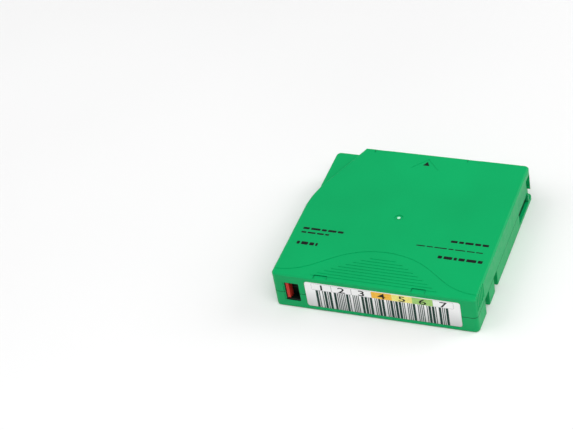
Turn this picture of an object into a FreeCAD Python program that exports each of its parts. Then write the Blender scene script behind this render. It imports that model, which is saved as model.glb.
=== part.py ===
"""Half-inch single-reel data tape cartridge as a parametric document, in millimetres.

The origin is at the middle of the case's footprint. +X runs along the label side, +Y points to the edge
that goes into the drive first, and +Z is up. The reel turns on a vertical axis that is as far from the left
side as it is from the label side and the leading side.
"""
import FreeCAD, Part
import math
import os
import re

import Sketcher

# Driving dimensions. Heights are above the surface that the case lies on.
SIZES = {
    # Case
    "case_width": 105.4,
    "case_depth": 102.0,
    "case_height": 21.5,
    "parting_height": 9.6,
    "side_wall": 1.8,
    "top_wall": 1.8,
    "floor_wall": 2.0,
    "corner_radius": 2.4,
    "corner_least": 0.4,
    "crown_break": 0.8,
    "edge_break": 0.5,
    "seam_break": 0.15,
    "tongue_height": 0.7,
    "tongue_wall": 0.7,
    "seam_gap": 0.1,
    # Stepped leading corner
    "shelf_height": 16.2,
    "step_tangent": 34.0,
    # Corner walls around the reel
    "guard_gap": 0.7,
    "guard_wall": 1.0,
    "guard_sides": 24,
    # Shallow pockets for stacking, at the label and leading edges
    "stack_pocket_pitch": 50.6,
    "stack_pocket_width": 6.8,
    "stack_pocket_reach": 3.0,
    "stack_pocket_depth": 0.5,
    "lip_relief_width": 36.8,
    "lip_relief_depth": 0.2,
    # Grip area on the top face, a bell curve with finger ribs
    "bell_depth": 0.2,
    "bell_height": 20.9,
    "bell_top_radius": 42.0,
    "bell_foot_radius": 30.4,
    "bell_slope": 36.87,
    "bell_foot_margin": 0.7,
    "bell_base": 4.2,
    "rib_count": 9,
    "rib_first": 3.0,
    "rib_pitch": 2.1,
    "rib_width": 0.7,
    "rib_shortest": 13.6,
    "rib_growth": 7.9,
    "rib_curve": 0.9,
    # Direction mark and gate dimple on the top face
    "chevron_reach": 7.4,
    "chevron_rise": 7.9,
    "chevron_from_edge": 3.9,
    "chevron_line": 0.7,
    "mark_depth": 0.15,
    "gate_radius": 2.3,
    "gate_nub_radius": 0.9,
    "gate_depth": 0.3,
    # Flutes in the right side of the upper shell
    "flute_count": 5,
    "flute_pitch": 2.4,
    "flute_first": 2.8,
    "flute_radius": 1.1,
    "flute_depth": 0.55,
    "flute_foot": 12.5,
    # Gripper notches in the right side of the lower shell
    "near_notch_start": 13.7,
    "near_notch_width": 6.4,
    "far_notch_start": 29.2,
    "far_notch_width": 5.5,
    "notch_depth": 3.2,
    "notch_wall": 1.2,
    # Screws and their bosses
    "post_sides": 12,
    "screw_radius": 1.0,
    "screw_head_radius": 1.9,
    "screw_head_height": 1.3,
    "screw_head_sink": 0.9,
    "screw_length": 12.3,
    "screw_gap": 0.2,
    "screw_pilot_gap": 0.05,
    "boss_wall": 1.5,
    "boss_inset_x": 6.4,
    "boss_inset_y": 6.0,
    "tab_boss_shift": 5.0,
    # Locating holes in the bottom
    "datum_radius": 2.0,
    "datum_depth": 2.5,
    "datum_roof": 1.1,
    "datum_wall": 1.6,
    "datum_from_left": 6.3,
    "datum_from_right": 9.7,
    "datum_forward": 33.0,
    "datum_slot": 1.4,
    # Write-protect tab and its window
    "window_from_left": 6.6,
    "window_width": 7.0,
    "window_foot": 5.6,
    "window_head": 5.9,
    "window_frame": 1.1,
    "window_frame_right": 0.3,
    "window_frame_top": 0.55,
    "window_frame_depth": 0.3,
    "tab_knob_width": 1.6,
    "tab_knob_sink": 0.5,
    "tab_plate_wall": 2.4,
    "tab_plate_lap": 1.0,
    "tab_gap": 0.2,
    "tab_rail_wall": 1.0,
    # Label
    "label_left": 17.2,
    "label_right": 8.1,
    "label_foot": 2.4,
    "label_height": 16.1,
    "label_radius": 1.5,
    "label_paper": 0.15,
    "label_sink": 0.3,
    "label_margin": 0.25,
    # Door, its opening in the right side and its track; beside the reel they take a strip of the case
    "door_room": 3.4,
    "opening_near": 24.8,
    "opening_foot": 2.4,
    "opening_head": 3.9,
    "door_recess": 0.9,
    "door_wall": 1.3,
    "door_leg_wall": 0.8,
    "door_leg_lap": 1.4,
    "door_foot": 7.1,
    "door_lap": 1.2,
    "door_length": 20.5,
    "door_travel": 16.0,
    "door_gap": 0.2,
    "door_groove": 0.5,
    "door_tab_length": 1.5,
    "door_edge_radius": 0.3,
    "opener_notch_top": 7.1,
    "post_setback": 2.2,
    "post_length": 3.3,
    "post_reach": 7.0,
    # Door spring
    "door_coil_radius": 1.3,
    "door_coil_wire": 0.22,
    "door_coil_turns": 8,
    "door_coil_sides": 6,
    "door_coil_height": 12.6,
    "door_coil_room": 36.6,
    "door_coil_seat_wall": 1.4,
    "door_pad_wall": 1.2,
    # Leader pin, its clip, seats and springs
    "pin_from_right": 5.8,
    "pin_from_front": 14.0,
    "pin_radius": 1.15,
    "pin_head_radius": 2.1,
    "pin_head_height": 0.6,
    "pin_gap": 0.15,
    "clip_wall": 0.7,
    "clip_slot": 1.2,
    "seat_reach": 3.4,
    "leaf_wall": 0.25,
    "leaf_height": 0.6,
    "leaf_overhang": 3.5,
    "leaf_foot": 2.8,
    "leaf_inset": 0.4,
    "leaf_gap": 0.05,
    # Tape
    "tape_foot_gap": 0.2,
    "tape_head_gap": 0.25,
    "tape_thickness": 0.12,
    "tape_gap": 0.15,
    "pack_inset": 1.7,
    # Reel
    "reel_gap": 1.0,
    "reel_floor_gap": 0.7,
    "reel_head_room": 1.9,
    "flange_wall": 1.1,
    "upper_flange_wall": 0.9,
    "hub_radius": 22.0,
    "hub_wall": 1.8,
    "hub_fit": 0.1,
    "spigot_wall": 0.8,
    "spigot_height": 1.0,
    "window_radius": 22.0,
    "gear_outer_radius": 20.8,
    "gear_inner_radius": 17.4,
    "gear_base": 1.6,
    "gear_tip": 0.4,
    "gear_teeth": 48,
    "gear_tooth_root": 1.9,
    "gear_tooth_crest": 0.5,
    "plate_radius": 16.9,
    "plate_bore": 6.0,
    "plate_wall": 1.0,
    "plate_gap": 0.3,
    "plate_holes": 3,
    "plate_hole_sides": 6,
    "plate_hole_radius": 1.2,
    "plate_hole_circle": 11.5,
    # Reel lock: teeth inside the hub, brake above them, release plate below it
    "lock_outer_radius": 16.2,
    "lock_inner_radius": 13.6,
    "lock_pedestal": 0.95,
    "lock_teeth": 24,
    "lock_tooth_root": 2.4,
    "lock_tooth_crest": 0.6,
    "lock_tooth_height": 1.3,
    "lock_tooth_gap": 0.2,
    "brake_radius": 16.8,
    "brake_wall": 1.5,
    "brake_stem_radius": 7.0,
    "brake_stem_wall": 2.0,
    "brake_stem_height": 5.7,
    "brake_pivot_radius": 2.0,
    "brake_lift": 1.6,
    "brake_coil_radius": 8.5,
    "brake_coil_wire": 0.45,
    "brake_coil_turns": 5,
    "brake_coil_sides": 8,
    "key_wall": 1.6,
    "key_gap": 0.2,
    "release_hub_radius": 8.0,
    "release_wall": 0.6,
    "release_gap": 0.2,
    "release_arms": 3,
    "release_arm_width": 4.0,
    "release_leg_outer": 19.6,
    "release_leg_depth": 2.0,
    "release_leg_foot": 0.9,
    "release_window_gap": 0.3,
    # Memory tag
    "tag_length": 18.0,
    "tag_width": 6.6,
    "tag_board": 0.6,
    "tag_rest": 5.3,
    "tag_rest_wall": 1.2,
    "tag_from_right": 9.8,
}

doc = FreeCAD.newDocument("tape_cartridge")
sheet = doc.addObject("Spreadsheet::Sheet", "sizes")
for row, (alias, number) in enumerate(SIZES.items(), start=1):
    sheet.set(f"A{row}", alias)
    sheet.set(f"B{row}", str(number))
    sheet.setAlias(f"B{row}", alias)
doc.recompute()

ALIASES = re.compile(r"\b(" + "|".join(SIZES) + r")\b")
TURN = FreeCAD.Vector(0, 0, 1)
FAR = 3  # how far a cutting tool runs past the face that it cuts


def linked(expression):
    """Turn the plain names of an expression into references to the sheet's cells."""
    return ALIASES.sub(r"sizes.\1", str(expression))


def bind(target, prop, expression):
    target.setExpression(prop, linked(expression))


def measure(expression):
    """The present value of an expression."""
    found = sheet.evalExpression(linked(expression))
    return float(getattr(found, "Value", found))


# Planes and axes that several pieces share
LEFT = "(-case_width / 2)"
RIGHT = "(case_width / 2)"
REAR = "(-case_depth / 2)"
FRONT = "(case_depth / 2)"
INNER_LEFT = f"({LEFT} + side_wall)"
INNER_RIGHT = f"({RIGHT} - side_wall)"
INNER_REAR = f"({REAR} + side_wall)"
INNER_FRONT = f"({FRONT} - side_wall)"
CEILING = "(case_height - top_wall)"
REEL_WALL = "(min(case_depth; case_width - door_room) / 2)"
REEL_X = f"({LEFT} + {REEL_WALL})"
FLANGE_RADIUS = f"({REEL_WALL} - side_wall - reel_gap)"
PACK_RADIUS = f"({FLANGE_RADIUS} - pack_inset)"
STEP_TURN = f"(atan(step_tangent / {FRONT}) + acos({REEL_WALL} / hypot(step_tangent; {FRONT})))"
REEL_FOOT = "(floor_wall + reel_floor_gap)"
HUB_FLOOR = f"({REEL_FOOT} + flange_wall)"
HUB_TOP = f"({CEILING} - reel_head_room - upper_flange_wall)"
HUB_BORE = "(hub_radius - hub_wall)"
LOCK_ROOT = f"({HUB_FLOOR} + lock_pedestal)"
LOCK_CREST = f"({LOCK_ROOT} + lock_tooth_height)"
BRAKE_FOOT = f"({LOCK_CREST} + lock_tooth_gap)"
BRAKE_TOP = f"({BRAKE_FOOT} + brake_wall)"
RELEASE_FOOT = f"({HUB_FLOOR} + release_gap)"
RELEASE_TOP = f"({RELEASE_FOOT} + release_wall)"
TAPE_FOOT = f"({HUB_FLOOR} + tape_foot_gap)"
TAPE_TOP = f"({HUB_TOP} - tape_head_gap)"
SCREW_HEAD_TOP = "(screw_head_sink + screw_head_height)"
PIN_X = f"({RIGHT} - pin_from_right)"
PIN_Y = f"({FRONT} - pin_from_front)"
PIN_FOOT = f"({TAPE_FOOT} - pin_gap - pin_head_height)"
PIN_TOP = f"({TAPE_TOP} + pin_gap + pin_head_height)"
DATUM_LEFT = f"({LEFT} + datum_from_left)"
DATUM_RIGHT = f"({RIGHT} - datum_from_right)"
DOOR_OUTSIDE = f"({RIGHT} - door_recess)"
DOOR_INSIDE = f"({DOOR_OUTSIDE} - door_wall)"
LEG_INSIDE = f"({DOOR_INSIDE} - door_leg_wall)"
OPENING_NEAR = f"({FRONT} - opening_near)"
POST_FACE = f"({INNER_FRONT} - post_length)"
DOOR_FAR = f"({POST_FACE} - door_gap)"
DOOR_NEAR = f"({DOOR_FAR} - door_length)"
OPENING_TOP = "(case_height - opening_head)"
DOOR_TOP = f"({OPENING_TOP} + door_groove)"
DOOR_COIL_X = f"({INNER_RIGHT} - door_gap - door_coil_radius - door_coil_wire)"
DOOR_COIL_SEAT = f"({DOOR_NEAR} - door_coil_room)"
WINDOW_LEFT = f"({LEFT} + window_from_left)"
WINDOW_RIGHT = f"({WINDOW_LEFT} + window_width)"
WINDOW_TOP = "(case_height - window_head)"
TAB_REAR = f"({INNER_REAR} + tab_gap)"
TAB_FRONT = f"({TAB_REAR} + tab_plate_wall)"


def origin_part(body, role):
    """A plane or axis of the body's own origin."""
    return next(part for part in body.Origin.OriginFeatures if part.Role == role)


def body_named(name):
    return doc.addObject("PartDesign::Body", name)


def set_box(box, x, y, z):
    """Bind a box to its two limits along each axis."""
    for axis, prop, (low, high) in (("x", "Length", x), ("y", "Width", y), ("z", "Height", z)):
        bind(box, prop, f"({high}) - ({low})")
        bind(box, f"Placement.Base.{axis}", low)
    return box


def block(name, x, y, z):
    return set_box(doc.addObject("Part::Box", name), x, y, z)


def rod(name, radius, x, y, z):
    """Upright cylinder between two heights."""
    cylinder = doc.addObject("Part::Cylinder", name)
    bind(cylinder, "Radius", radius)
    bind(cylinder, "Height", f"({z[1]}) - ({z[0]})")
    bind(cylinder, "Placement.Base.x", x)
    bind(cylinder, "Placement.Base.y", y)
    bind(cylinder, "Placement.Base.z", z[0])
    return cylinder


def post(name, radius, x, y, z, sides="post_sides"):
    """Upright many-sided rod, for bosses, the screws in them and walls that follow a circle."""
    prism = doc.addObject("Part::Prism", name)
    bind(prism, "Polygon", sides)
    bind(prism, "Circumradius", radius)
    bind(prism, "Height", f"({z[1]}) - ({z[0]})")
    bind(prism, "Placement.Base.x", x)
    bind(prism, "Placement.Base.y", y)
    bind(prism, "Placement.Base.z", z[0])
    return prism


def union(name, pieces):
    joined = doc.addObject("Part::MultiFuse", name)
    joined.Shapes = pieces
    return joined


def overlap(name, pieces):
    shared = doc.addObject("Part::MultiCommon", name)
    shared.Shapes = pieces
    return shared


def cut(name, base, tools):
    """The base with the tools taken out of it."""
    result = doc.addObject("Part::Cut", name)
    result.Base = base
    result.Tool = tools[0] if len(tools) == 1 else union(f"{name}_tools", tools)
    return result


def tube(name, outer, inner, x, y, z):
    return cut(name, rod(f"{name}_outside", outer, x, y, z), [rod(f"{name}_bore", inner, x, y, z)])


def outline(body, name, points, plane="XY_Plane", offset="0"):
    """Closed sketch. A point is (x, y), or (x, y, radius, side) where an arc leads to it.

    The side says whether the arc's centre lies on the left or the right of the way that the outline runs.
    """
    sketch = body.newObject("Sketcher::SketchObject", name)
    sketch.AttachmentSupport = (origin_part(body, plane), [""])
    sketch.MapMode = "FlatFace"
    bind(sketch, "AttachmentOffset.Base.z", offset)
    spots = [FreeCAD.Vector(measure(point[0]), measure(point[1]), 0) for point in points]
    ends = []
    for index, point in enumerate(points):
        start, end = spots[index - 1], spots[index]
        if len(point) == 2:
            sketch.addGeometry(Part.LineSegment(start, end), False)
            ends.append((1, 2))
        else:
            counter_clockwise = point[3] == "left"
            sketch.addGeometry(arc_between(start, end, measure(point[2]), counter_clockwise), False)
            ends.append((1, 2) if counter_clockwise else (2, 1))
    for index, point in enumerate(points):
        after = (index + 1) % len(points)
        end_point, start_point = ends[index][1], ends[after][0]
        sketch.addConstraint(Sketcher.Constraint("Coincident", index, end_point, after, start_point))
        spot = spots[index]
        for kind, place, number in (("DistanceX", point[0], spot.x), ("DistanceY", point[1], spot.y)):
            held = sketch.addConstraint(Sketcher.Constraint(kind, -1, 1, index, end_point, number))
            bind(sketch, f"Constraints[{held}]", place)
        if len(point) == 4:
            held = sketch.addConstraint(Sketcher.Constraint("Radius", index, measure(point[2])))
            bind(sketch, f"Constraints[{held}]", point[2])
    return sketch


def arc_between(start, end, radius, counter_clockwise):
    """Arc of less than half a turn between two points."""
    chord = end - start
    rise = math.sqrt(max(radius ** 2 - (chord.Length / 2) ** 2, 0.0))
    side = FreeCAD.Vector(-chord.y, chord.x, 0).normalize() * (rise if counter_clockwise else -rise)
    centre = (start + end) / 2 + side
    first, last = (start, end) if counter_clockwise else (end, start)
    circle = Part.Circle(centre, TURN, radius)
    return Part.ArcOfCircle(circle, circle.parameter(first), circle.parameter(last))


def pad_of(body, name, sketch, length):
    pad = body.newObject("PartDesign::Pad", name)
    pad.Profile = sketch
    bind(pad, "Length", length)
    return pad


def prism(name, points, z):
    """Body of one upright pad between two heights."""
    body = body_named(name)
    sketch = outline(body, f"{name}_outline", points, offset=z[0])
    pad_of(body, f"{name}_pad", sketch, f"({z[1]}) - ({z[0]})")
    return body


def turned(body, name, points):
    """Revolve a half section, given as (radius, height) points, about the body's Z axis."""
    sketch = outline(body, f"{name}_section", points, plane="XZ_Plane")
    solid = body.newObject("PartDesign::Revolution", name)
    solid.Profile = sketch
    solid.ReferenceAxis = (sketch, ["V_Axis"])
    solid.Angle = 360
    return solid


def ring_pattern(body, name, originals, count):
    """Repeat features evenly round the body's Z axis."""
    pattern = body.newObject("PartDesign::PolarPattern", name)
    pattern.Originals = originals
    pattern.Axis = (origin_part(body, "Z_Axis"), [""])
    pattern.Angle = 360
    bind(pattern, "Occurrences", count)
    body.Tip = pattern
    return pattern


def edges_along(shape, axis):
    """Names of the straight edges that run along an axis."""
    names = []
    for index, edge in enumerate(shape.Edges, start=1):
        way = edge.tangentAt(edge.FirstParameter)
        if edge.Curve.TypeId == "Part::GeomLine" and abs(way.dot(axis)) > 0.999:
            names.append(f"Edge{index}")
    return names


def rounded(body, name, feature, radius, edges):
    """Round the named edges of a body's feature."""
    fillet = body.newObject("PartDesign::Fillet", name)
    fillet.Base = (feature, edges)
    bind(fillet, "Radius", radius)
    return fillet


def chamfered(body, name, feature, width, edges):
    """Break the named edges of a body's feature."""
    chamfer = body.newObject("PartDesign::Chamfer", name)
    chamfer.Base = (feature, edges)
    bind(chamfer, "Size", width)
    return chamfer


def rounded_block(name, x, y, z, radius, axis=TURN):
    """Box whose four edges along one axis are rounded."""
    body = body_named(name)
    box = set_box(body.newObject("PartDesign::AdditiveBox", f"{name}_box"), x, y, z)
    doc.recompute()
    rounded(body, f"{name}_corners", box, radius, edges_along(box.Shape, axis))
    return body


def case_block(name, inset, z):
    """The case's plan, drawn in by an inset, between two heights."""
    return rounded_block(
        name,
        (f"{LEFT} + {inset}", f"{RIGHT} - {inset}"),
        (f"{REAR} + {inset}", f"{FRONT} - {inset}"),
        z,
        f"max(corner_radius - {inset}; corner_least)",
    )


def step_points(radius):
    """Outline of what lies outside the stepped corner's wall: an arc about the reel, then its tangent."""
    beyond = f"({FRONT} + {FAR})"
    return [
        (f"{REEL_X} - {radius}", "0"),
        (f"{REEL_X} - {radius} * sin({STEP_TURN})", f"{radius} * cos({STEP_TURN})", radius, "right"),
        (f"{REEL_X} + ({beyond} * cos({STEP_TURN}) - {radius}) / sin({STEP_TURN})", beyond),
        (f"{LEFT} - {FAR}", beyond),
        (f"{LEFT} - {FAR}", "0"),
    ]


def shell_blank(name, z):
    """Body of the case's plan with its round corners, and its last feature."""
    body = body_named(name)
    box = set_box(body.newObject("PartDesign::AdditiveBox", f"{name}_box"), (LEFT, RIGHT), (REAR, FRONT), z)
    doc.recompute()
    corners = rounded(body, f"{name}_corners", box, "corner_radius", edges_along(box.Shape, TURN))
    doc.recompute()
    return body, corners


def edges_at(shape, height):
    """Names of the edges that lie level at a height."""
    level = measure(height)
    return [
        f"Edge{index}"
        for index, edge in enumerate(shape.Edges, start=1)
        if abs(edge.BoundBox.ZMin - level) < 0.01 and abs(edge.BoundBox.ZMax - level) < 0.01
    ]


def broken_rims(body, name, feature, *rims):
    """Chamfer the rims of a body, each a height and a width."""
    for index, (height, width) in enumerate(rims):
        feature = chamfered(body, f"{name}_{index}", feature, width, edges_at(feature.Shape, height))
        doc.recompute()
    return body


def reel_guards(name, z):
    """Many-sided walls about the reel in three corners of the case."""
    inner = f"({FLANGE_RADIUS} + guard_gap) / cos(180 / guard_sides)"
    outside = post(f"{name}_outside", f"{inner} + guard_wall", REEL_X, "0", z, "guard_sides")
    ring = cut(f"{name}_ring", outside, [post(f"{name}_inside", inner, REEL_X, "0", z, "guard_sides")])
    parts = [
        overlap(f"{name}_part_{index}", [ring, block(f"{name}_corner_{index}", x, y, z)])
        for index, (x, y) in enumerate(REEL_CORNERS)
    ]
    return union(name, parts)


# Corners of the case outside the reel, as x limits and y limits
LEFT_STRIP = (f"{LEFT} + side_wall / 2", f"{REEL_X} - hub_radius / 2")
RIGHT_STRIP = (f"{REEL_X} + hub_radius / 2", RIGHT)
REAR_STRIP = (f"{REAR} + side_wall / 2", "-hub_radius / 2")
FRONT_STRIP = ("hub_radius / 2", f"{FRONT} - side_wall / 2")
REEL_CORNERS = ((LEFT_STRIP, REAR_STRIP), (RIGHT_STRIP, REAR_STRIP), (LEFT_STRIP, FRONT_STRIP))

# Screw places: three case corners, and beside the write-protect tab
BOSS_PLACES = (
    (f"({LEFT} + boss_inset_x)", f"({FRONT} - boss_inset_y)"),
    (f"({LEFT} + boss_inset_x)", f"({REAR} + boss_inset_y + tab_boss_shift)"),
    (f"({RIGHT} - boss_inset_x)", f"({REAR} + boss_inset_y)"),
    (f"({RIGHT} - boss_inset_x - post_setback)", f"({FRONT} - boss_inset_y + side_wall / 2)"),
)


def bosses(name, z_of):
    """A boss at each screw place; z_of gives its heights from the place's index."""
    radius = "screw_radius + screw_gap + boss_wall"
    return [post(f"{name}_{i}", radius, x, y, z_of(i)) for i, (x, y) in enumerate(BOSS_PLACES)]


def bores(name, radius, z):
    return [post(f"{name}_{i}", radius, x, y, z) for i, (x, y) in enumerate(BOSS_PLACES)]


def stack_pockets(name, z):
    """Four shallow pockets, two at each of the label and leading edges."""
    pockets = []
    rear = (f"{REAR} - {FAR}", f"{REAR} + stack_pocket_reach")
    front = (f"{FRONT} - stack_pocket_reach", f"{FRONT} + {FAR}")
    for side, word in (("-", "left"), ("+", "right")):
        middle = f"({REEL_X} {side} stack_pocket_pitch / 2)"
        x = (f"{middle} - stack_pocket_width / 2", f"{middle} + stack_pocket_width / 2")
        pockets.append(block(f"{name}_rear_{word}", x, rear, z))
        pockets.append(block(f"{name}_front_{word}", x, front, z))
    return pockets


def door_track(name):
    """Space that the door's slab and leg slide in, with the groove over its top edge."""
    near = f"{DOOR_NEAR} - door_travel - 2 * door_gap"
    slab = block(
        f"{name}_slab",
        (f"{DOOR_INSIDE} - door_gap", f"{DOOR_OUTSIDE} + door_gap"),
        (near, f"{DOOR_FAR} + door_gap"),
        ("door_foot - door_gap", f"{DOOR_TOP} + door_gap"),
    )
    leg = block(
        f"{name}_leg",
        (f"{LEG_INSIDE} - door_gap", f"{DOOR_INSIDE} + door_gap"),
        (near, f"{DOOR_FAR} + door_gap"),
        ("floor_wall", "door_foot + door_leg_lap + door_gap"),
    )
    return [slab, leg]


def door_opening(name):
    """Opening in the right side wall, with the opener's way in round the leading corner."""
    side = block(
        f"{name}_side",
        (f"{RIGHT} - post_setback", f"{RIGHT} + {FAR}"),
        (OPENING_NEAR, INNER_FRONT),
        ("opening_foot", OPENING_TOP),
    )
    entry = block(
        f"{name}_entry",
        (f"{RIGHT} - post_setback", f"{RIGHT} + {FAR}"),
        (f"{INNER_FRONT} - {FAR}", f"{FRONT} + {FAR}"),
        ("opening_foot", "opener_notch_top"),
    )
    return [side, entry]


def corner_post(name, z):
    """Post inside the leading right corner that stops the door and holds the pin springs."""
    face = f"{RIGHT} - post_setback"
    return block(name, (f"{face} - post_reach", face), (POST_FACE, INNER_FRONT), z)


def pin_seat(name, z):
    return block(
        name,
        (f"{PIN_X} - seat_reach", f"{PIN_X} + pin_radius / 2"),
        (f"{PIN_Y} - seat_reach", f"{PIN_Y} + seat_reach"),
        z,
    )


def pin_pocket(name, z):
    """Round pocket for the pin's head, open to the right."""
    radius = "(pin_head_radius + pin_gap)"
    width = (f"{PIN_Y} - {radius}", f"{PIN_Y} + {radius}")
    return [
        rod(f"{name}_round", radius, PIN_X, PIN_Y, z),
        block(f"{name}_mouth", (PIN_X, f"{PIN_X} + {radius}"), width, z),
    ]


LEAF_X = f"({PIN_X} + pin_head_radius + leaf_gap)"
LEAF_Y = f"({POST_FACE} + leaf_inset)"


def leaf_slot(name, z):
    return block(
        name,
        (f"{LEAF_X} - leaf_foot - door_gap", f"{LEAF_X} + leaf_wall + door_gap"),
        (f"{LEAF_Y} - leaf_inset - {FAR}", f"{LEAF_Y} + leaf_wall + door_gap"),
        (f"{z[0]} - door_gap", f"{z[1]} + door_gap"),
    )


def write_window(name):
    """Window for the write-protect tab, with its shallow frame."""
    return [
        block(f"{name}_hole", (WINDOW_LEFT, WINDOW_RIGHT), (f"{REAR} - {FAR}", f"{INNER_REAR} + tab_gap / 2"),
              ("window_foot", WINDOW_TOP)),
        block(f"{name}_frame", (f"{WINDOW_LEFT} - window_frame", f"{WINDOW_RIGHT} + window_frame_right"),
              (f"{REAR} - {FAR}", f"{REAR} + window_frame_depth"),
              ("window_foot - window_frame", f"{WINDOW_TOP} + window_frame_top")),
    ]


def tab_rails(name, z):
    """Rail above or below the tab's plate, and the wall behind the plate."""
    x = (INNER_LEFT, f"{WINDOW_RIGHT} + window_frame + 2 * tab_rail_wall")
    return block(name, x, (f"{REAR} + side_wall / 2", f"{TAB_FRONT} + tab_gap + tab_rail_wall"), z)


def tab_space(name):
    """Space that the tab's plate and knob slide in."""
    travel_end = f"{WINDOW_RIGHT} + tab_gap"
    lap = "(tab_plate_lap + tab_gap)"
    return block(
        name,
        (INNER_LEFT, travel_end),
        (INNER_REAR, f"{TAB_FRONT} + tab_gap"),
        (f"window_foot - {lap}", f"{WINDOW_TOP} + {lap}"),
    )


def label_recess(name):
    return rounded_block(
        name,
        (f"{LEFT} + label_left - label_margin", f"{RIGHT} - label_right + label_margin"),
        (f"{REAR} - {FAR}", f"{REAR} + label_sink"),
        ("label_foot - label_margin", "label_foot + label_height + label_margin"),
        "label_radius + label_margin",
        FreeCAD.Vector(0, 1, 0),
    )


def notch_limits(word, wall="0"):
    """Limits along Y of a gripper notch, or of the walls round it."""
    start = f"({REAR} + {word}_notch_start)"
    return (f"{start} - {wall}", f"{start} + {word}_notch_width + {wall}")


def notch_walls(name, z):
    """Blocks that the two gripper notches are cut into."""
    x = (f"{RIGHT} - notch_depth - notch_wall", f"{RIGHT} - side_wall / 2")
    return [block(f"{name}_{word}", x, notch_limits(word, "notch_wall"), z) for word in ("near", "far")]


def spring_seat(name, z):
    """Rib that the door spring pushes against."""
    x = (f"{DOOR_COIL_X} - door_coil_radius", f"{RIGHT} - side_wall / 2")
    return block(name, x, (f"{DOOR_COIL_SEAT} - door_coil_seat_wall", DOOR_COIL_SEAT), z)


def door_rail(name):
    """Rail on the floor that the door's leg runs along."""
    x = (f"{LEG_INSIDE} - door_gap - guard_wall", f"{LEG_INSIDE} - door_gap")
    y = (f"{DOOR_NEAR} - door_travel", f"{DOOR_NEAR} + door_lap")
    return block(name, x, y, ("floor_wall / 2", "door_foot - door_gap"))


def build_lower_shell():
    """Lower half of the case: tub, drive window, notches, bosses and seats."""
    blank, corners = shell_blank("lower_blank", ("0", "parting_height"))
    broken_rims(blank, "lower_rim", corners, ("0", "edge_break"), ("parting_height", "seam_break"))
    rim = ("parting_height - side_wall", "parting_height + tongue_height")
    tongue = cut("lower_tongue", case_block("lower_tongue_outside", "(side_wall - tongue_wall)", rim),
                 [case_block("lower_tongue_inside", "side_wall", rim)])
    tub = cut("lower_tub", blank, [case_block("lower_cavity", "side_wall", ("floor_wall", "case_height"))])
    inside = ("floor_wall / 2", "parting_height")
    extras = [
        tongue,
        reel_guards("lower_guards", inside),
        corner_post("lower_post", inside),
        pin_seat("lower_seat", ("floor_wall / 2", f"{PIN_FOOT} + pin_head_height")),
        tab_rails("lower_tab_rail", inside),
        spring_seat("lower_spring_seat", inside),
        door_rail("lower_door_rail"),
        *notch_walls("notch_walls", inside),
        *bosses("lower_boss", lambda i: inside),
    ]
    datum_top = ("floor_wall / 2", "datum_depth + datum_roof")
    for word, x in (("left", DATUM_LEFT), ("right", DATUM_RIGHT)):
        extras.append(post(f"datum_boss_{word}", "datum_radius + datum_wall", x, "datum_forward", datum_top))
    extras.append(tag_rest("tag_rest_right", f"{RIGHT} - tag_from_right - tag_rest_wall"))
    extras.append(tag_rest("tag_rest_left", f"{RIGHT} - tag_from_right - tag_length"))
    body = union("lower_body", [tub, *extras])
    tools = [
        rod("drive_window", "window_radius", REEL_X, "0", (f"-{FAR}", f"floor_wall + {FAR}")),
        *bores("screw_way", "screw_radius + screw_gap", (f"-{FAR}", "case_height")),
        *bores("screw_well", "screw_head_radius + screw_gap", (f"-{FAR}", SCREW_HEAD_TOP)),
        rod("datum_hole", "datum_radius", DATUM_LEFT, "datum_forward", (f"-{FAR}", "datum_depth")),
        *slot("datum_slot_cut"),
        *door_track("lower_track"),
        *door_opening("lower_opening"),
        *pin_pocket("lower_pocket", (f"{PIN_FOOT} - pin_gap", "parting_height")),
        leaf_slot("lower_leaf_slot", (PIN_FOOT, f"{PIN_FOOT} + leaf_height")),
        *write_window("lower_window"),
        tab_space("lower_tab_space"),
        label_recess("lower_label_recess"),
        *stack_pockets("lower_pockets", (f"-{FAR}", "stack_pocket_depth")),
        block("lip_relief", (f"{REEL_X} - lip_relief_width / 2", f"{REEL_X} + lip_relief_width / 2"),
              (f"{REAR} - {FAR}", f"{REAR} + stack_pocket_reach"), (f"-{FAR}", "lip_relief_depth")),
    ]
    for word in ("near", "far"):
        x = (f"{RIGHT} - notch_depth", f"{RIGHT} + {FAR}")
        tools.append(block(f"{word}_notch", x, notch_limits(word), (f"-{FAR}", "case_height")))
    return cut("lower_shell", body, tools)


def slot(name):
    """Locating slot, longer along X, that lets the right side float."""
    z = (f"-{FAR}", "datum_depth")
    x = (f"{DATUM_RIGHT} - datum_slot / 2", f"{DATUM_RIGHT} + datum_slot / 2")
    return [
        rod(f"{name}_left", "datum_radius", x[0], "datum_forward", z),
        rod(f"{name}_right", "datum_radius", x[1], "datum_forward", z),
        block(f"{name}_middle", x,
              ("datum_forward - datum_radius", "datum_forward + datum_radius"), z),
    ]


def tag_rest(name, start):
    """Gusset between floor and label wall that the memory tag leans on at 45 degrees."""
    body = body_named(name)
    root = "side_wall / 2"
    leg = f"tag_rest + {root}"
    points = [
        (f"{INNER_REAR} - {root}", f"floor_wall - {root}"),
        (f"{INNER_REAR} + {leg}", f"floor_wall - {root}"),
        (f"{INNER_REAR} - {root}", f"floor_wall + {leg}"),
    ]
    sketch = outline(body, f"{name}_outline", points, plane="YZ_Plane", offset=start)
    pad_of(body, f"{name}_pad", sketch, "tag_rest_wall")
    return body


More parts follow.
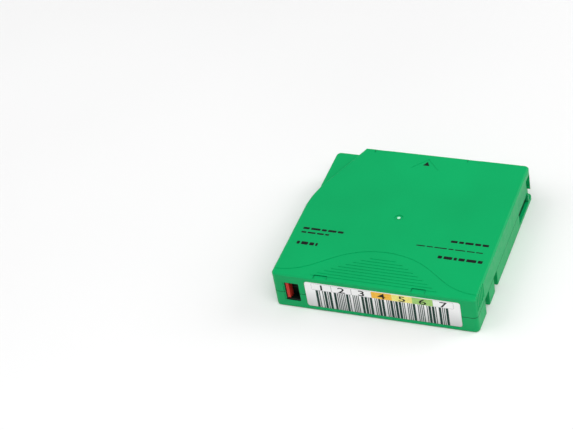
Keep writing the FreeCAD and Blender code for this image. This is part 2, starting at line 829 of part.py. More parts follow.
def upper_blank():
    """Outside of the upper shell: a low block with the shelf's rim, and a high one with the step."""
    low, corners = shell_blank("upper_low", ("parting_height", "shelf_height"))
    rims = (("parting_height", "seam_break"), ("shelf_height", "edge_break"))
    broken_rims(low, "upper_low_rim", corners, *rims)
    high, corners = shell_blank("upper_high", ("parting_height + side_wall", "case_height"))
    pocket = high.newObject("PartDesign::Pocket", "upper_step")
    pocket.Profile = outline(high, "upper_step_outline", step_points(REEL_WALL), offset="case_height")
    bind(pocket, "Length", "case_height")
    doc.recompute()
    broken_rims(high, "upper_high_rim", pocket, ("case_height", "crown_break"))
    blank = union("upper_blank", [low, high])
    blank.Refine = True
    return blank


def build_upper_shell():
    """Upper half of the case: stepped corner, grip area, flutes, reel lock post and seats."""
    blank = upper_blank()
    wall = f"({REEL_WALL} - side_wall)"
    below = f"parting_height - {FAR}"
    step = prism("upper_cavity_step", step_points(wall), (f"{below} - {FAR}", "case_height"))
    cavity = union("upper_cavity", [
        case_block("upper_cavity_low", "side_wall", (below, "shelf_height - top_wall")),
        cut("upper_cavity_high", case_block("upper_cavity_full", "side_wall", (below, CEILING)), [step]),
    ])
    tub = cut("upper_tub", blank, [cavity])
    inside = ("parting_height", f"{CEILING} + top_wall / 2")
    under_shelf = ("parting_height", "shelf_height - top_wall / 2")
    extras = [
        corner_post("upper_post", inside),
        pin_seat("upper_seat", (f"{TAPE_TOP} + pin_gap", inside[1])),
        tab_rails("upper_tab_rail", inside),
        spring_seat("upper_spring_seat", inside),
        *bosses("upper_boss", lambda i: under_shelf if i == 0 else inside),
    ]
    key = (f"{BRAKE_TOP} + brake_lift + 2 * key_gap", inside[1])
    reach = "(brake_stem_radius - key_gap)"
    half = "key_wall / 2"
    for word, x, y in (("across", reach, half), ("along", half, reach)):
        extras.append(block(f"key_{word}", (f"{REEL_X} - {x}", f"{REEL_X} + {x}"), (f"-{y}", y), key))
    extras += notch_walls("notch_lid", ("parting_height", "parting_height + notch_wall"))
    body = union("upper_body", [tub, *extras])
    groove = (below, "parting_height + tongue_height + seam_gap")
    groove_outside = case_block("upper_groove_outside", "(side_wall - tongue_wall - seam_gap)", groove)
    groove_inside = case_block("upper_groove_inside", "(side_wall + seam_gap)", groove)
    pilot = (below, f"{SCREW_HEAD_TOP} + screw_length + screw_gap")
    dimple = ("case_height - gate_depth", "case_height")
    tools = [
        cut("upper_groove", groove_outside, [groove_inside]),
        *bores("screw_pilot", "screw_radius + screw_pilot_gap", pilot),
        *door_track("upper_track"),
        *door_opening("upper_opening"),
        *pin_pocket("upper_pocket", ("parting_height", f"{PIN_TOP} + pin_gap")),
        leaf_slot("upper_leaf_slot", (f"{PIN_TOP} - leaf_height", PIN_TOP)),
        *write_window("upper_window"),
        tab_space("upper_tab_space"),
        label_recess("upper_label_recess"),
        *stack_pockets("upper_pockets", ("case_height - stack_pocket_depth", f"case_height + {FAR}")),
        cut("gate_ring", rod("gate_dimple", "gate_radius", REEL_X, "0", dimple),
            [post("gate_nub", "gate_nub_radius", REEL_X, "0", dimple)]),
        chevron(),
        grip_area(),
    ]
    for index in range(int(measure("flute_count"))):
        y = f"{REAR} + flute_first + {index} * flute_pitch"
        tools.append(rod(f"flute_{index}", "flute_radius", f"{RIGHT} + flute_radius - flute_depth", y,
                         ("flute_foot", f"case_height + {FAR}")))
    return cut("upper_shell", body, tools)


def chevron():
    """Thin engraved chevron that points to the leading edge."""
    tip = f"{FRONT} - chevron_from_edge"
    foot = f"{tip} - chevron_rise"
    line = "chevron_line"
    return prism("chevron", [
        ("0", tip),
        ("-chevron_reach", foot),
        (f"{line} - chevron_reach", foot),
        ("0", f"{tip} - {line} * chevron_rise / chevron_reach"),
        (f"chevron_reach - {line}", foot),
        ("chevron_reach", foot),
    ], ("case_height - mark_depth", f"case_height + {FAR}"))


def grip_area():
    """Slightly sunk area under a bell curve, less the finger ribs that stand in it."""
    z = ("case_height - bell_depth", f"case_height + {FAR}")
    crest = f"({REAR} + bell_base + bell_height)"
    base = f"({REAR} + bell_base)"
    top_x = "(bell_top_radius * sin(bell_slope))"
    top_y = f"({crest} - bell_top_radius * (1 - cos(bell_slope)))"
    reach = f"({RIGHT} - bell_foot_margin)"
    foot_x = f"({reach} - bell_foot_radius * sin(bell_slope))"
    foot_y = f"({base} + bell_foot_radius * (1 - cos(bell_slope)))"
    bell = prism("bell", [
        (f"{LEFT} - {FAR}", f"{REAR} - {FAR}"),
        (f"{RIGHT} + {FAR}", f"{REAR} - {FAR}"),
        (f"{RIGHT} + {FAR}", base),
        (reach, base),
        (foot_x, foot_y, "bell_foot_radius", "right"),
        (top_x, top_y),
        ("0", crest, "bell_top_radius", "left"),
        (f"-{top_x}", top_y, "bell_top_radius", "left"),
        (f"-{foot_x}", foot_y),
        (f"-{reach}", base, "bell_foot_radius", "right"),
        (f"{LEFT} - {FAR}", base),
    ], z)
    ribs = []
    for index in range(int(measure("rib_count"))):
        middle = f"({REAR} + rib_first + {index} * rib_pitch)"
        y = (f"{middle} - rib_width / 2", f"{middle} + rib_width / 2")
        half = f"(rib_shortest / 2 + rib_growth / 2 * (rib_count - 1 - {index}) ^ rib_curve)"
        ribs.append(block(f"rib_{index}", (f"-{half}", half), y, z))
    return cut("grip_area", bell, ribs)


def build_screws():
    """Pan-head screws that hold the shells together."""
    pieces = []
    head = ("screw_head_sink", SCREW_HEAD_TOP)
    shank = (SCREW_HEAD_TOP, f"{SCREW_HEAD_TOP} + screw_length")
    for index, (x, y) in enumerate(BOSS_PLACES):
        pieces.append(post(f"screw_head_{index}", "screw_head_radius", x, y, head))
        pieces.append(post(f"screw_shank_{index}", "screw_radius", x, y, shank))
    return union("case_screws", pieces)


def build_label():
    paper = rounded_block(
        "cartridge_label",
        (f"{LEFT} + label_left", f"{RIGHT} - label_right"),
        (f"{REAR} + label_sink - label_paper", f"{REAR} + label_sink"),
        ("label_foot", "label_foot + label_height"),
        "label_radius",
        FreeCAD.Vector(0, 1, 0),
    )
    return paper


def build_write_protect_tab():
    """Red slider: a knob that shows in the window on a plate that fills it when slid across."""
    right = f"{WINDOW_LEFT} + tab_gap + tab_knob_width"
    plate = block("tab_plate", (f"{INNER_LEFT} + tab_gap", right), (TAB_REAR, TAB_FRONT),
                  ("window_foot - tab_plate_lap", f"{WINDOW_TOP} + tab_plate_lap"))
    knob = block("tab_knob", (f"{WINDOW_LEFT} + tab_gap", right), (f"{REAR} + tab_knob_sink", TAB_FRONT),
                 ("window_foot + tab_gap", f"{WINDOW_TOP} - tab_gap"))
    return union("write_protect_tab", [plate, knob])


def build_door():
    """Sliding door: outer slab, inner leg that runs in the floor, and the opener's tab."""
    z = ("door_foot", DOOR_TOP)
    y = (DOOR_NEAR, DOOR_FAR)
    slab = rounded_block("door_slab", (DOOR_INSIDE, DOOR_OUTSIDE), y, z, "door_edge_radius")
    leg = block("door_leg", (LEG_INSIDE, f"{DOOR_INSIDE} + door_gap"), y,
                ("floor_wall + door_gap", "door_foot + door_leg_lap"))
    tab = block("door_tab", (f"{DOOR_INSIDE} - door_gap", f"{DOOR_OUTSIDE} + door_recess - door_gap"),
                (f"{DOOR_FAR} - door_tab_length", DOOR_FAR),
                ("opening_foot + door_gap", "door_foot + door_gap"))
    pad = block("door_spring_pad", (f"{DOOR_COIL_X} - door_coil_radius", f"{DOOR_INSIDE} + door_gap"),
                (DOOR_NEAR, f"{DOOR_NEAR} + door_pad_wall"),
                ("door_coil_height - door_coil_radius", "door_coil_height + door_coil_radius"))
    return union("door", [slab, leg, tab, pad])


def coil(name, mean_radius, wire_radius, turns, sides, height):
    """Coil spring of straight segments of square wire, wound up the Z axis from the origin."""
    radius, wire = measure(mean_radius), measure(wire_radius)
    rise = measure(height) - 2 * wire
    segments = int(measure(sides))
    count = int(measure(turns)) * segments
    points = []
    for index in range(count + 1):
        angle = 2 * math.pi * index / segments
        height_here = wire + rise * index / count
        points.append(FreeCAD.Vector(radius * math.cos(angle), radius * math.sin(angle), height_here))
    along = (points[1] - points[0]).normalize()
    across = along.cross(TURN).normalize()
    up = across.cross(along).normalize()
    ring = []
    for side in range(5):
        angle = math.pi * (side / 2 + 1 / 4)
        ring.append(points[0] + across * (wire * math.cos(angle)) + up * (wire * math.sin(angle)))
    wire_section = Part.Wire(Part.makePolygon(ring).Edges)
    spring = doc.addObject("Part::Feature", name)
    spring.Shape = Part.makePolygon(points).makePipeShell([wire_section], True, False, 1)
    return spring


def build_door_spring():
    """Compression spring between the seat rib and the door's near end."""
    spring = coil("door_spring", "door_coil_radius", "door_coil_wire", "door_coil_turns", "door_coil_sides",
                  "door_coil_room - 2 * door_gap")
    seat = measure(f"{DOOR_COIL_SEAT} + door_gap")
    place = FreeCAD.Vector(measure(DOOR_COIL_X), seat, measure("door_coil_height"))
    spring.Placement = FreeCAD.Placement(place, FreeCAD.Rotation(FreeCAD.Vector(1, 0, 0), -90))
    return spring


def build_leader_pin():
    """Steel pin with a head at each end."""
    body = body_named("leader_pin")
    low, high = PIN_FOOT, PIN_TOP
    turned(body, "leader_pin_turned", [
        ("0", low),
        ("pin_head_radius", low),
        ("pin_head_radius", f"{low} + pin_head_height"),
        ("pin_radius", f"{low} + pin_head_height"),
        ("pin_radius", f"{high} - pin_head_height"),
        ("pin_head_radius", f"{high} - pin_head_height"),
        ("pin_head_radius", high),
        ("0", high),
    ])
    place_at(body, PIN_X, PIN_Y)
    return body


def place_at(target, x, y):
    bind(target, "Placement.Base.x", x)
    bind(target, "Placement.Base.y", y)


def build_leader_clip():
    """Plastic sleeve, slit along its length, that clips the tape's end onto the pin."""
    z = (f"{TAPE_FOOT} + pin_gap", f"{TAPE_TOP} - pin_gap")
    bore = "pin_radius + hub_fit / 2"
    sleeve = tube("clip_sleeve", f"{bore} + clip_wall", bore, PIN_X, PIN_Y, z)
    slit_width = (f"{PIN_Y} - clip_slot / 2", f"{PIN_Y} + clip_slot / 2")
    slit = block("clip_slit", (PIN_X, f"{PIN_X} + {FAR}"), slit_width, z)
    return cut("leader_clip", sleeve, [slit])


def build_leader_tape():
    """Free end of the tape, from where it leaves the pack to the clip on the pin."""
    across = f"({PIN_X} - {REEL_X})"
    away = f"hypot({across}; {PIN_Y})"
    leave = f"({PACK_RADIUS} + tape_gap + tape_thickness / 2)"
    bearing = f"(atan({PIN_Y} / {across}) - acos({leave} / {away}))"
    outside = f"({PACK_RADIUS} + tape_gap + tape_thickness)"
    strip = doc.addObject("Part::Box", "leader_tape")
    bind(strip, "Length", f"sqrt(({away}) ^ 2 - {leave} ^ 2) - pin_radius - clip_wall - hub_fit")
    bind(strip, "Width", "tape_thickness")
    bind(strip, "Height", f"{TAPE_TOP} - {TAPE_FOOT}")
    bind(strip, "Placement.Base.x", f"{REEL_X} + {outside} * cos({bearing})")
    bind(strip, "Placement.Base.y", f"{outside} * sin({bearing})")
    bind(strip, "Placement.Base.z", TAPE_FOOT)
    strip.Placement = FreeCAD.Placement(strip.Placement.Base, FreeCAD.Rotation(TURN, 80))
    bind(strip, "Placement.Rotation.Angle", f"90deg + {bearing}")
    return strip


def build_pin_spring(name, z):
    """Bent leaf: the foot sits in the corner post and the arm bears on a head of the pin."""
    foot = block(f"{name}_foot", (f"{LEAF_X} - leaf_foot", f"{LEAF_X} + leaf_wall"),
                 (LEAF_Y, f"{LEAF_Y} + leaf_wall"), z)
    arm = block(f"{name}_arm", (LEAF_X, f"{LEAF_X} + leaf_wall"),
                (f"{PIN_Y} - leaf_overhang", f"{LEAF_Y} + leaf_wall"), z)
    return union(name, [foot, arm])


def build_memory_tag():
    """Board of the cartridge memory, leaning on its gussets at 45 degrees."""
    board = doc.addObject("Part::Box", "memory_tag")
    bind(board, "Length", "tag_length")
    bind(board, "Width", "tag_width")
    bind(board, "Height", "tag_board")
    lift = "(tag_board + hub_fit / 2) * sqrt(2)"
    bind(board, "Placement.Base.x", f"{RIGHT} - tag_from_right - tag_length")
    bind(board, "Placement.Base.y", f"{INNER_REAR} + tag_rest / 2 + tag_width / sqrt(8) + {lift} / 2")
    bind(board, "Placement.Base.z", f"floor_wall + tag_rest / 2 - tag_width / sqrt(8) + {lift} / 2")
    board.Placement = FreeCAD.Placement(board.Placement.Base, FreeCAD.Rotation(FreeCAD.Vector(1, 0, 0), 135))
    return board


def tooth(body, name, section, inner, outer, bearing="0"):
    """One radial tooth, padded outwards from an upright section, at a bearing from the X axis."""
    sketch = outline(body, f"{name}_section", section, plane="YZ_Plane", offset=f"({inner}) * cos({bearing})")
    upright = FreeCAD.Vector(0, 1, 0)
    sketch.AttachmentOffset = FreeCAD.Placement(FreeCAD.Vector(), FreeCAD.Rotation(upright, 45))
    bind(sketch, "AttachmentOffset.Base.x", f"({inner}) * sin({bearing})")
    bind(sketch, "AttachmentOffset.Rotation.Angle", bearing)
    return pad_of(body, name, sketch, f"{outer} - ({inner})")


def build_reel_hub():
    """Hub in one piece with the lower flange, the drive gear below and the lock teeth inside."""
    body = body_named("reel_hub")
    turned(body, "hub_turned", [
        ("0", "gear_base + plate_wall / 2"),
        ("plate_radius + plate_gap", "gear_base + plate_wall / 2"),
        ("plate_radius + plate_gap", "gear_base"),
        ("gear_outer_radius + plate_gap", "gear_base"),
        ("gear_outer_radius + plate_gap", REEL_FOOT),
        (FLANGE_RADIUS, REEL_FOOT),
        (FLANGE_RADIUS, HUB_FLOOR),
        ("hub_radius", HUB_FLOOR),
        ("hub_radius", HUB_TOP),
        (HUB_BORE, HUB_TOP),
        (HUB_BORE, HUB_FLOOR),
        ("lock_outer_radius", HUB_FLOOR),
        ("lock_outer_radius", LOCK_ROOT),
        ("lock_inner_radius", LOCK_ROOT),
        ("lock_inner_radius", HUB_FLOOR),
        ("0", HUB_FLOOR),
    ])
    root = "gear_base + plate_wall / 4"
    drive = tooth(body, "drive_tooth", [
        ("-gear_tooth_root / 2", root),
        ("-gear_tooth_crest / 2", "gear_tip"),
        ("gear_tooth_crest / 2", "gear_tip"),
        ("gear_tooth_root / 2", root),
    ], "gear_inner_radius", "gear_outer_radius")
    doc.recompute()
    ring_pattern(body, "drive_gear", [drive], "gear_teeth")
    doc.recompute()
    root = f"{LOCK_ROOT} - lock_tooth_gap"
    lock = tooth(body, "lock_tooth", [
        ("-lock_tooth_root / 2", root),
        ("lock_tooth_root / 2", root),
        ("lock_tooth_crest / 2", LOCK_CREST),
        ("-lock_tooth_crest / 2", LOCK_CREST),
    ], "lock_inner_radius + lock_tooth_gap / 2", "lock_outer_radius - lock_tooth_gap / 2")
    doc.recompute()
    ring_pattern(body, "lock_ring", [lock], "lock_teeth")
    doc.recompute()
    half = "(release_arm_width / 2 + release_window_gap)"
    inner = "(release_leg_outer - release_leg_depth - release_window_gap)"
    windows = [
        ("leg_window", (inner, "release_leg_outer + release_window_gap"), half, ("0", HUB_FLOOR)),
        ("gear_gap", ("plate_radius", "gear_outer_radius + 2 * plate_gap"),
         f"({half} + release_window_gap * 2)", ("0", "gear_base + plate_gap")),
        ("arm_slot", ("lock_inner_radius - release_window_gap", f"{inner} + release_window_gap"), half,
         (f"{HUB_FLOOR} - release_gap / 2", f"{LOCK_CREST} + {FAR}")),
    ]
    cuts = []
    for name, x, reach, z in windows:
        window = body.newObject("PartDesign::SubtractiveBox", name)
        cuts.append(set_box(window, x, (f"-{reach}", reach), z))
        doc.recompute()
    ring_pattern(body, "release_windows", cuts, "release_arms")
    place_at(body, REEL_X, "0")
    return body


def build_upper_flange():
    """Upper flange with the spigot that centres it in the hub."""
    body = body_named("reel_upper_flange")
    spigot = f"({HUB_BORE} - hub_fit)"
    turned(body, "upper_flange_turned", [
        (f"{spigot} - spigot_wall", f"{HUB_TOP} - spigot_height"),
        (spigot, f"{HUB_TOP} - spigot_height"),
        (spigot, HUB_TOP),
        (FLANGE_RADIUS, HUB_TOP),
        (FLANGE_RADIUS, f"{HUB_TOP} + upper_flange_wall"),
        (f"{spigot} - spigot_wall", f"{HUB_TOP} + upper_flange_wall"),
    ])
    place_at(body, REEL_X, "0")
    return body


def build_drive_plate():
    """Steel plate that the drive's magnet pulls, in its recess under the hub."""
    body = body_named("drive_plate")
    top = "(gear_base + plate_wall / 2)"
    turned(body, "plate_turned", [
        ("plate_bore", f"{top} - plate_wall"),
        ("plate_radius", f"{top} - plate_wall"),
        ("plate_radius", top),
        ("plate_bore", top),
    ])
    doc.recompute()
    hole = body.newObject("PartDesign::SubtractivePrism", "plate_hole")
    bind(hole, "Polygon", "plate_hole_sides")
    bind(hole, "Circumradius", "plate_hole_radius")
    bind(hole, "Height", f"plate_wall + 2 * {FAR}")
    bind(hole, "Placement.Base.x", "plate_hole_circle")
    bind(hole, "Placement.Base.z", f"{top} - plate_wall - {FAR}")
    doc.recompute()
    ring_pattern(body, "plate_holes", [hole], "plate_holes")
    place_at(body, REEL_X, "0")
    return body


def build_tape_pack():
    return tube("tape_pack", PACK_RADIUS, "hub_radius + hub_fit", REEL_X, "0", (TAPE_FOOT, TAPE_TOP))


def build_brake():
    """Toothed disc that locks the hub, with a slotted stem that slides on the upper shell's cross key."""
    body = body_named("brake")
    stem = "(brake_stem_radius - brake_stem_wall)"
    turned(body, "brake_turned", [
        ("0", f"{RELEASE_TOP} + release_gap"),
        ("brake_pivot_radius", f"{RELEASE_TOP} + release_gap"),
        ("brake_pivot_radius", BRAKE_FOOT),
        ("brake_radius", BRAKE_FOOT),
        ("brake_radius", BRAKE_TOP),
        ("brake_stem_radius", BRAKE_TOP),
        ("brake_stem_radius", f"{BRAKE_TOP} + brake_stem_height"),
        (stem, f"{BRAKE_TOP} + brake_stem_height"),
        (stem, BRAKE_TOP),
        ("0", BRAKE_TOP),
    ])
    doc.recompute()
    slots = []
    for name, size in (("slot_across", ("brake_radius", "key")), ("slot_along", ("key", "brake_radius"))):
        half = {"key": "(key_wall / 2 + key_gap)", "brake_radius": "(brake_stem_radius + key_gap)"}
        opening = body.newObject("PartDesign::SubtractiveBox", name)
        x, y = half[size[0]], half[size[1]]
        slots.append(set_box(opening, (f"-{x}", x), (f"-{y}", y),
                             (BRAKE_TOP, f"{BRAKE_TOP} + brake_stem_height + {FAR}")))
        doc.recompute()
    root = f"{BRAKE_FOOT} + lock_tooth_gap"
    tip = f"{LOCK_ROOT} + lock_tooth_gap"
    teeth = tooth(body, "brake_tooth", [
        ("-lock_tooth_root / 2", root),
        ("-lock_tooth_crest / 2", tip),
        ("lock_tooth_crest / 2", tip),
        ("lock_tooth_root / 2", root),
    ], "lock_inner_radius + lock_tooth_gap", "lock_outer_radius - lock_tooth_gap", "(180 / lock_teeth)")
    doc.recompute()
    ring_pattern(body, "brake_teeth", [teeth], "lock_teeth")
    place_at(body, REEL_X, "0")
    return body


def build_brake_spring():
    """Spring between the brake disc and the ceiling of the upper shell."""
    room = f"{CEILING} - {BRAKE_TOP} - 2 * key_gap"
    spring = coil("brake_spring", "brake_coil_radius", "brake_coil_wire", "brake_coil_turns",
                  "brake_coil_sides", room)
    spring.Placement.Base = FreeCAD.Vector(measure(REEL_X), 0, measure(f"{BRAKE_TOP} + key_gap"))
    return spring


def build_release_plate():
    """Three-armed plate whose legs reach down into the drive gear to lift the brake."""
    body = body_named("release_plate")
    turned(body, "release_turned", [
        ("0", RELEASE_FOOT),
        ("release_hub_radius", RELEASE_FOOT),
        ("release_hub_radius", RELEASE_TOP),
        ("0", RELEASE_TOP),
    ])
    doc.recompute()
    half = "release_arm_width / 2"
    arm = body.newObject("PartDesign::AdditiveBox", "release_arm")
    set_box(arm, ("0", "release_leg_outer"), (f"-{half}", half), (RELEASE_FOOT, RELEASE_TOP))
    doc.recompute()
    leg = body.newObject("PartDesign::AdditiveBox", "release_leg")
    set_box(leg, ("release_leg_outer - release_leg_depth", "release_leg_outer"), (f"-{half}", half),
            ("release_leg_foot", RELEASE_TOP))
    doc.recompute()
    ring_pattern(body, "release_pattern", [arm, leg], "release_arms")
    place_at(body, REEL_X, "0")
    return body


PARTS = [
    build_lower_shell(),
    build_upper_shell(),
    build_screws(),
    build_label(),
    build_write_protect_tab(),
    build_door(),
    build_door_spring(),
    build_leader_pin(),
    build_leader_clip(),
    build_leader_tape(),
    build_pin_spring("pin_spring_lower", (PIN_FOOT, f"{PIN_FOOT} + leaf_height")),
    build_pin_spring("pin_spring_upper", (f"{PIN_TOP} - leaf_height", PIN_TOP)),
    build_memory_tag(),
    build_reel_hub(),
    build_upper_flange(),
    build_drive_plate(),
    build_tape_pack(),
    build_brake(),
    build_brake_spring(),
    build_release_plate(),
]
doc.recompute()


def check_and_write():
    """Refuse any failed object or bad shape, then write one STEP file for each piece."""
    failed = [item.Name for item in doc.Objects if {"Invalid", "Error"} & set(item.State)]
    if failed:
        raise RuntimeError(f"failed objects: {failed}")
    for part in PARTS:
        if part.Shape.isNull() or not part.Shape.isValid() or not part.Shape.Solids:
            raise RuntimeError(f"bad shape: {part.Label}")
    os.makedirs("parts", exist_ok=True)
    for part in PARTS:
        part.Shape.exportStep(os.path.join("parts", f"{part.Label}.step"))
        print(part.Label, len(part.Shape.Solids), "solid(s),", round(part.Shape.Volume, 2), "mm3")


check_and_write()
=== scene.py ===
"""Looks of a half-inch data tape cartridge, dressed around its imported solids.

All lengths are in metres, in the frame of the case: label side at low y, leading edge at high y.
"""
import math

import bpy
from mathutils import Matrix, Vector


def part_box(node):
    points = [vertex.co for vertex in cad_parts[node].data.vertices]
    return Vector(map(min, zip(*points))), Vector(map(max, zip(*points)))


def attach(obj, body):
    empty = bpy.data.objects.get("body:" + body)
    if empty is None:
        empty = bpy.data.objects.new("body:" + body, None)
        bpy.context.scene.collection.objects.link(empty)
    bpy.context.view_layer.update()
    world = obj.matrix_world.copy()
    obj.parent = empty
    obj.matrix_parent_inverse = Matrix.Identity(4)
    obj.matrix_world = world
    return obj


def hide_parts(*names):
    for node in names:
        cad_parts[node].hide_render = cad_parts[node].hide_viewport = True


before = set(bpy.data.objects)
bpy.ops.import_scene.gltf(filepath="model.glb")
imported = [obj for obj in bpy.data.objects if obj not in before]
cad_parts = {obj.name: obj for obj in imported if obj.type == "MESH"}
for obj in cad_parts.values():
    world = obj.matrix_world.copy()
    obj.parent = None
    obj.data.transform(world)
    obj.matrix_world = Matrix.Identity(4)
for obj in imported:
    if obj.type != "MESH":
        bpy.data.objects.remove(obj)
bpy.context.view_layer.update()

MM = 0.001

# Places that the solids give
CASE_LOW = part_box("lower_shell")[0]
CASE_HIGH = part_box("upper_shell")[1]
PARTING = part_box("upper_shell")[0].z
LABEL_LOW, LABEL_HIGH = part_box("cartridge_label")
DOOR_LOW, DOOR_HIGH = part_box("door")
REEL_LOW, REEL_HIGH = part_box("reel_hub")
REEL_AXIS = (REEL_LOW + REEL_HIGH) / 2

# Cells of the label
LABEL_INK = 0.02 * MM
CELL_COUNT = 7
CELL_PITCH = 10.45 * MM
CELL_START = 3.6 * MM
CELL_HEIGHT = 4.2 * MM
CELL_TOP_GAP = 0.5 * MM
CELL_LINE = 0.12 * MM
CELL_RADIUS = 0.5 * MM
CELL_CORNER_SEGMENTS = 4

# Numbers in the cells. The font's numerals take up a share of its size.
DIGIT_HEIGHT = 3.4 * MM
DIGIT_SHARE_OF_SIZE = 0.7
DIGIT_STRETCH = 1.7
DIGIT_BOLD = 0.04 * MM
DIGIT_FOOT_GAP = 0.3 * MM

# Bars of the label
BAR_START = 5.5 * MM
BAR_TOP_GAP = 4.8 * MM
BAR_FOOT = 0.05 * MM
BAR_NARROW = 0.462 * MM
BAR_WIDE = 1.27 * MM
BAR_GROUPS = 10
BARS_IN_GROUP = 5

# Print on the top face. Each piece reaches from a little under the face to a little over it.
TOP_INK_UNDER = 0.02 * MM
TOP_INK_OVER = 0.004 * MM
ARROW_TIP_GAP = 6.0 * MM
ARROW_RISE = 3.2 * MM
ARROW_HALF = 1.75 * MM
DASH_GAP = 0.8 * MM
DASH_CORNER_SHARE = 0.2
DASH_CORNER_SEGMENTS = 3

# Rows of dashes: name, left end, middle line, height and the width of each dash, in millimetres
DASH_ROWS = (
    ("left_row_1", -47.6, -15.9, 1.5, (3.4, 5.0, 2.6, 4.4, 3.0)),
    ("left_row_2", -47.6, -18.9, 1.1, (2.6, 4.2, 3.6, 2.0)),
    ("left_row_3", -47.3, -26.8, 2.2, (1.6, 3.6, 2.4, 1.2)),
    ("right_row_1", 29.3, -12.3, 1.6, (3.4, 2.4, 4.2, 3.0, 3.2)),
    ("right_row_2", 13.0, -17.9, 0.7, (4.6, 3.2, 6.4, 2.6, 5.2, 4.0, 3.4)),
    ("right_row_3", 26.0, -24.3, 2.0, (2.2, 4.4, 1.6, 3.2, 5.0, 2.4)),
)

# Painted highlight: a light disc on the stub left by the mould's gate, in place of its glint
GATE_RADIUS = 0.85 * MM
GATE_RIM = 0.15 * MM
GATE_SIDES = 32

# Painted shade on the walls behind the window of the write-protect tab: middle and half size of
# its box, and its colour
WINDOW_MIDDLE = (-42.6 * MM, -46.85 * MM, 8.9 * MM)
WINDOW_HALF = (3.9 * MM, 4.0 * MM, 7.0 * MM)
WINDOW_PAINTED_SHADE = (0.002, 0.008, 0.005)

# Painted shade in the joint between the shells
SEAM_HALF = 0.17 * MM
SEAM_PAINTED_SHADE = 0.22

# Painted shade on the walls of the stacking pockets in the top face, two pockets at each end of
# the case
STACK_PITCH = 50.6 * MM
STACK_MIDDLE = 1.85 * MM
STACK_DEPTH = 0.5 * MM
STACK_HALF = (3.6 * MM, 1.3 * MM, 0.22 * MM)
STACK_PAINTED_SHADE = 0.3

# Painted shade on the door's leg below its slab, inside the opener's slot
LEG_MIDDLE = (
    DOOR_LOW.x + 1.5 * MM,
    (DOOR_LOW.y + DOOR_HIGH.y) / 2 - 1.2 * MM,
    DOOR_LOW.z + 2.4 * MM,
)
LEG_HALF = (1.7 * MM, (DOOR_HIGH.y - DOOR_LOW.y) / 2, 2.5 * MM)
LEG_PAINTED_SHADE = 0.15

# Cross-recessed screws, their heads down
SCREW_SIDES = 40
SCREW_HEAD = 1.3 * MM
SCREW_HEAD_BEVEL = 0.35 * MM
SCREW_BEVEL_SEGMENTS = 4
SCREW_SHANK = 1.0 * MM
SCREW_TIP = 1.6 * MM
SCREW_TIP_SHARE = 0.35
SCREW_SMOOTH = math.radians(30)
RECESS_SPAN = 2.3 * MM
RECESS_WIDTH = 0.5 * MM
RECESS_DEPTH = 0.8 * MM
RECESS_TAPER = 0.7

# Tests of where a face or an edge lies
TOUCHING = 0.01 * MM
FACING_UP = 0.9

# Noise of the finishes, in features per metre, and the part of its range that is used
NOISE_USED = (0.3, 0.7)
DRIFT_SCALE = 22
SHEEN_SCALE = 300
GRAIN_SCALE = 2600
REEL_GRAIN_SCALE = 1800
BOARD_GRAIN_SCALE = 900
STREAK_SCALE = 900
FIBRE_SCALE = 1400
PAPER_GRAIN_SCALE = 900
INK_SCALE = 1800
FLOOR_SCALE = 3
RING_WANDER = 0.6
FILM_RING_SCALE = 900
TURNED_RING_SCALE = 420
TURNED_SHEEN_SCALE = 240

# How far roughness strays from its middle value
PLASTIC_SHEEN = 0.05
METAL_SHEEN = 0.08

# Depth of the bump in the finishes
MOULD_GRAIN_DEPTH = 0.03 * MM
POLISHED_DEPTH = 0.002 * MM
FINE_DEPTH = 0.01 * MM

# The painted shade at the label's foot fades out at this share of its height
FADE_SHARE = 2 / 3

# Room and lights: name, place, size in metres and power in watts of each soft box
FLOOR_SIZE = 6
FLOOR_DROP = 0.05 * MM
FLOOR_DARKEST = (0.84, 0.84, 0.84)
FLOOR_LIGHTEST = (0.88, 0.88, 0.88)
AIR_LIGHT = 0.36
SOFT_BOXES = (
    ("key_box", (0.42, -0.55, 1.35), 1.3, 13.5),
    ("fill_box", (-0.9, -0.35, 1.2), 1.2, 8),
    ("right_box", (1.1, 0.75, 0.75), 0.9, 9),
)

# View, as the camera's direction from the case and its shift in its own picture plane
VIEW_TURN = math.radians(27.455)
VIEW_RISE = math.radians(40.056)
VIEW_ROLL = math.radians(-11.302)
VIEW_DISTANCE = 0.9569
VIEW_ACROSS = -0.059829
VIEW_UP = 0.009720
VIEW_LENS = 118.5
VIEW_SENSOR = 36
VIEW_NEAREST = 0.01


# ---------------------------------------------------------------- mesh helpers

def deselect():
    """Leave edit mode and select nothing."""
    if bpy.context.object and bpy.context.object.mode != "OBJECT":
        bpy.ops.object.mode_set(mode="OBJECT")
    bpy.ops.object.select_all(action="DESELECT")


def make_active(piece):
    """Select one piece alone."""
    deselect()
    piece.select_set(True)
    bpy.context.view_layer.objects.active = piece


def edit_all(piece, kind="FACE"):
    """Open a piece in edit mode with all its faces or vertices selected."""
    make_active(piece)
    bpy.ops.object.mode_set(mode="EDIT")
    bpy.ops.mesh.select_mode(type=kind)
    bpy.ops.mesh.select_all(action="SELECT")


def edit_chosen(piece, kind, test):
    """Open a piece in edit mode with only the faces or edges that pass a test selected."""
    make_active(piece)
    mesh = piece.data
    for part in (mesh.polygons, mesh.edges, mesh.vertices):
        part.foreach_set("select", [False] * len(part))
    for element in mesh.polygons if kind == "FACE" else mesh.edges:
        element.select = test(element)
    bpy.ops.object.mode_set(mode="EDIT")
    bpy.ops.mesh.select_mode(type=kind)


def settle(piece):
    """Leave edit mode and put the piece's place in its mesh."""
    make_active(piece)
    bpy.ops.object.transform_apply(location=True, rotation=True, scale=True)
    return piece


def named(name):
    """Name the active piece and its mesh."""
    piece = bpy.context.object
    piece.name = name
    piece.data.name = name
    return piece


def extrude(offset):
    """Extrude what is selected, by an offset in metres."""
    bpy.ops.mesh.extrude_region_move(TRANSFORM_OT_translate={"value": offset})


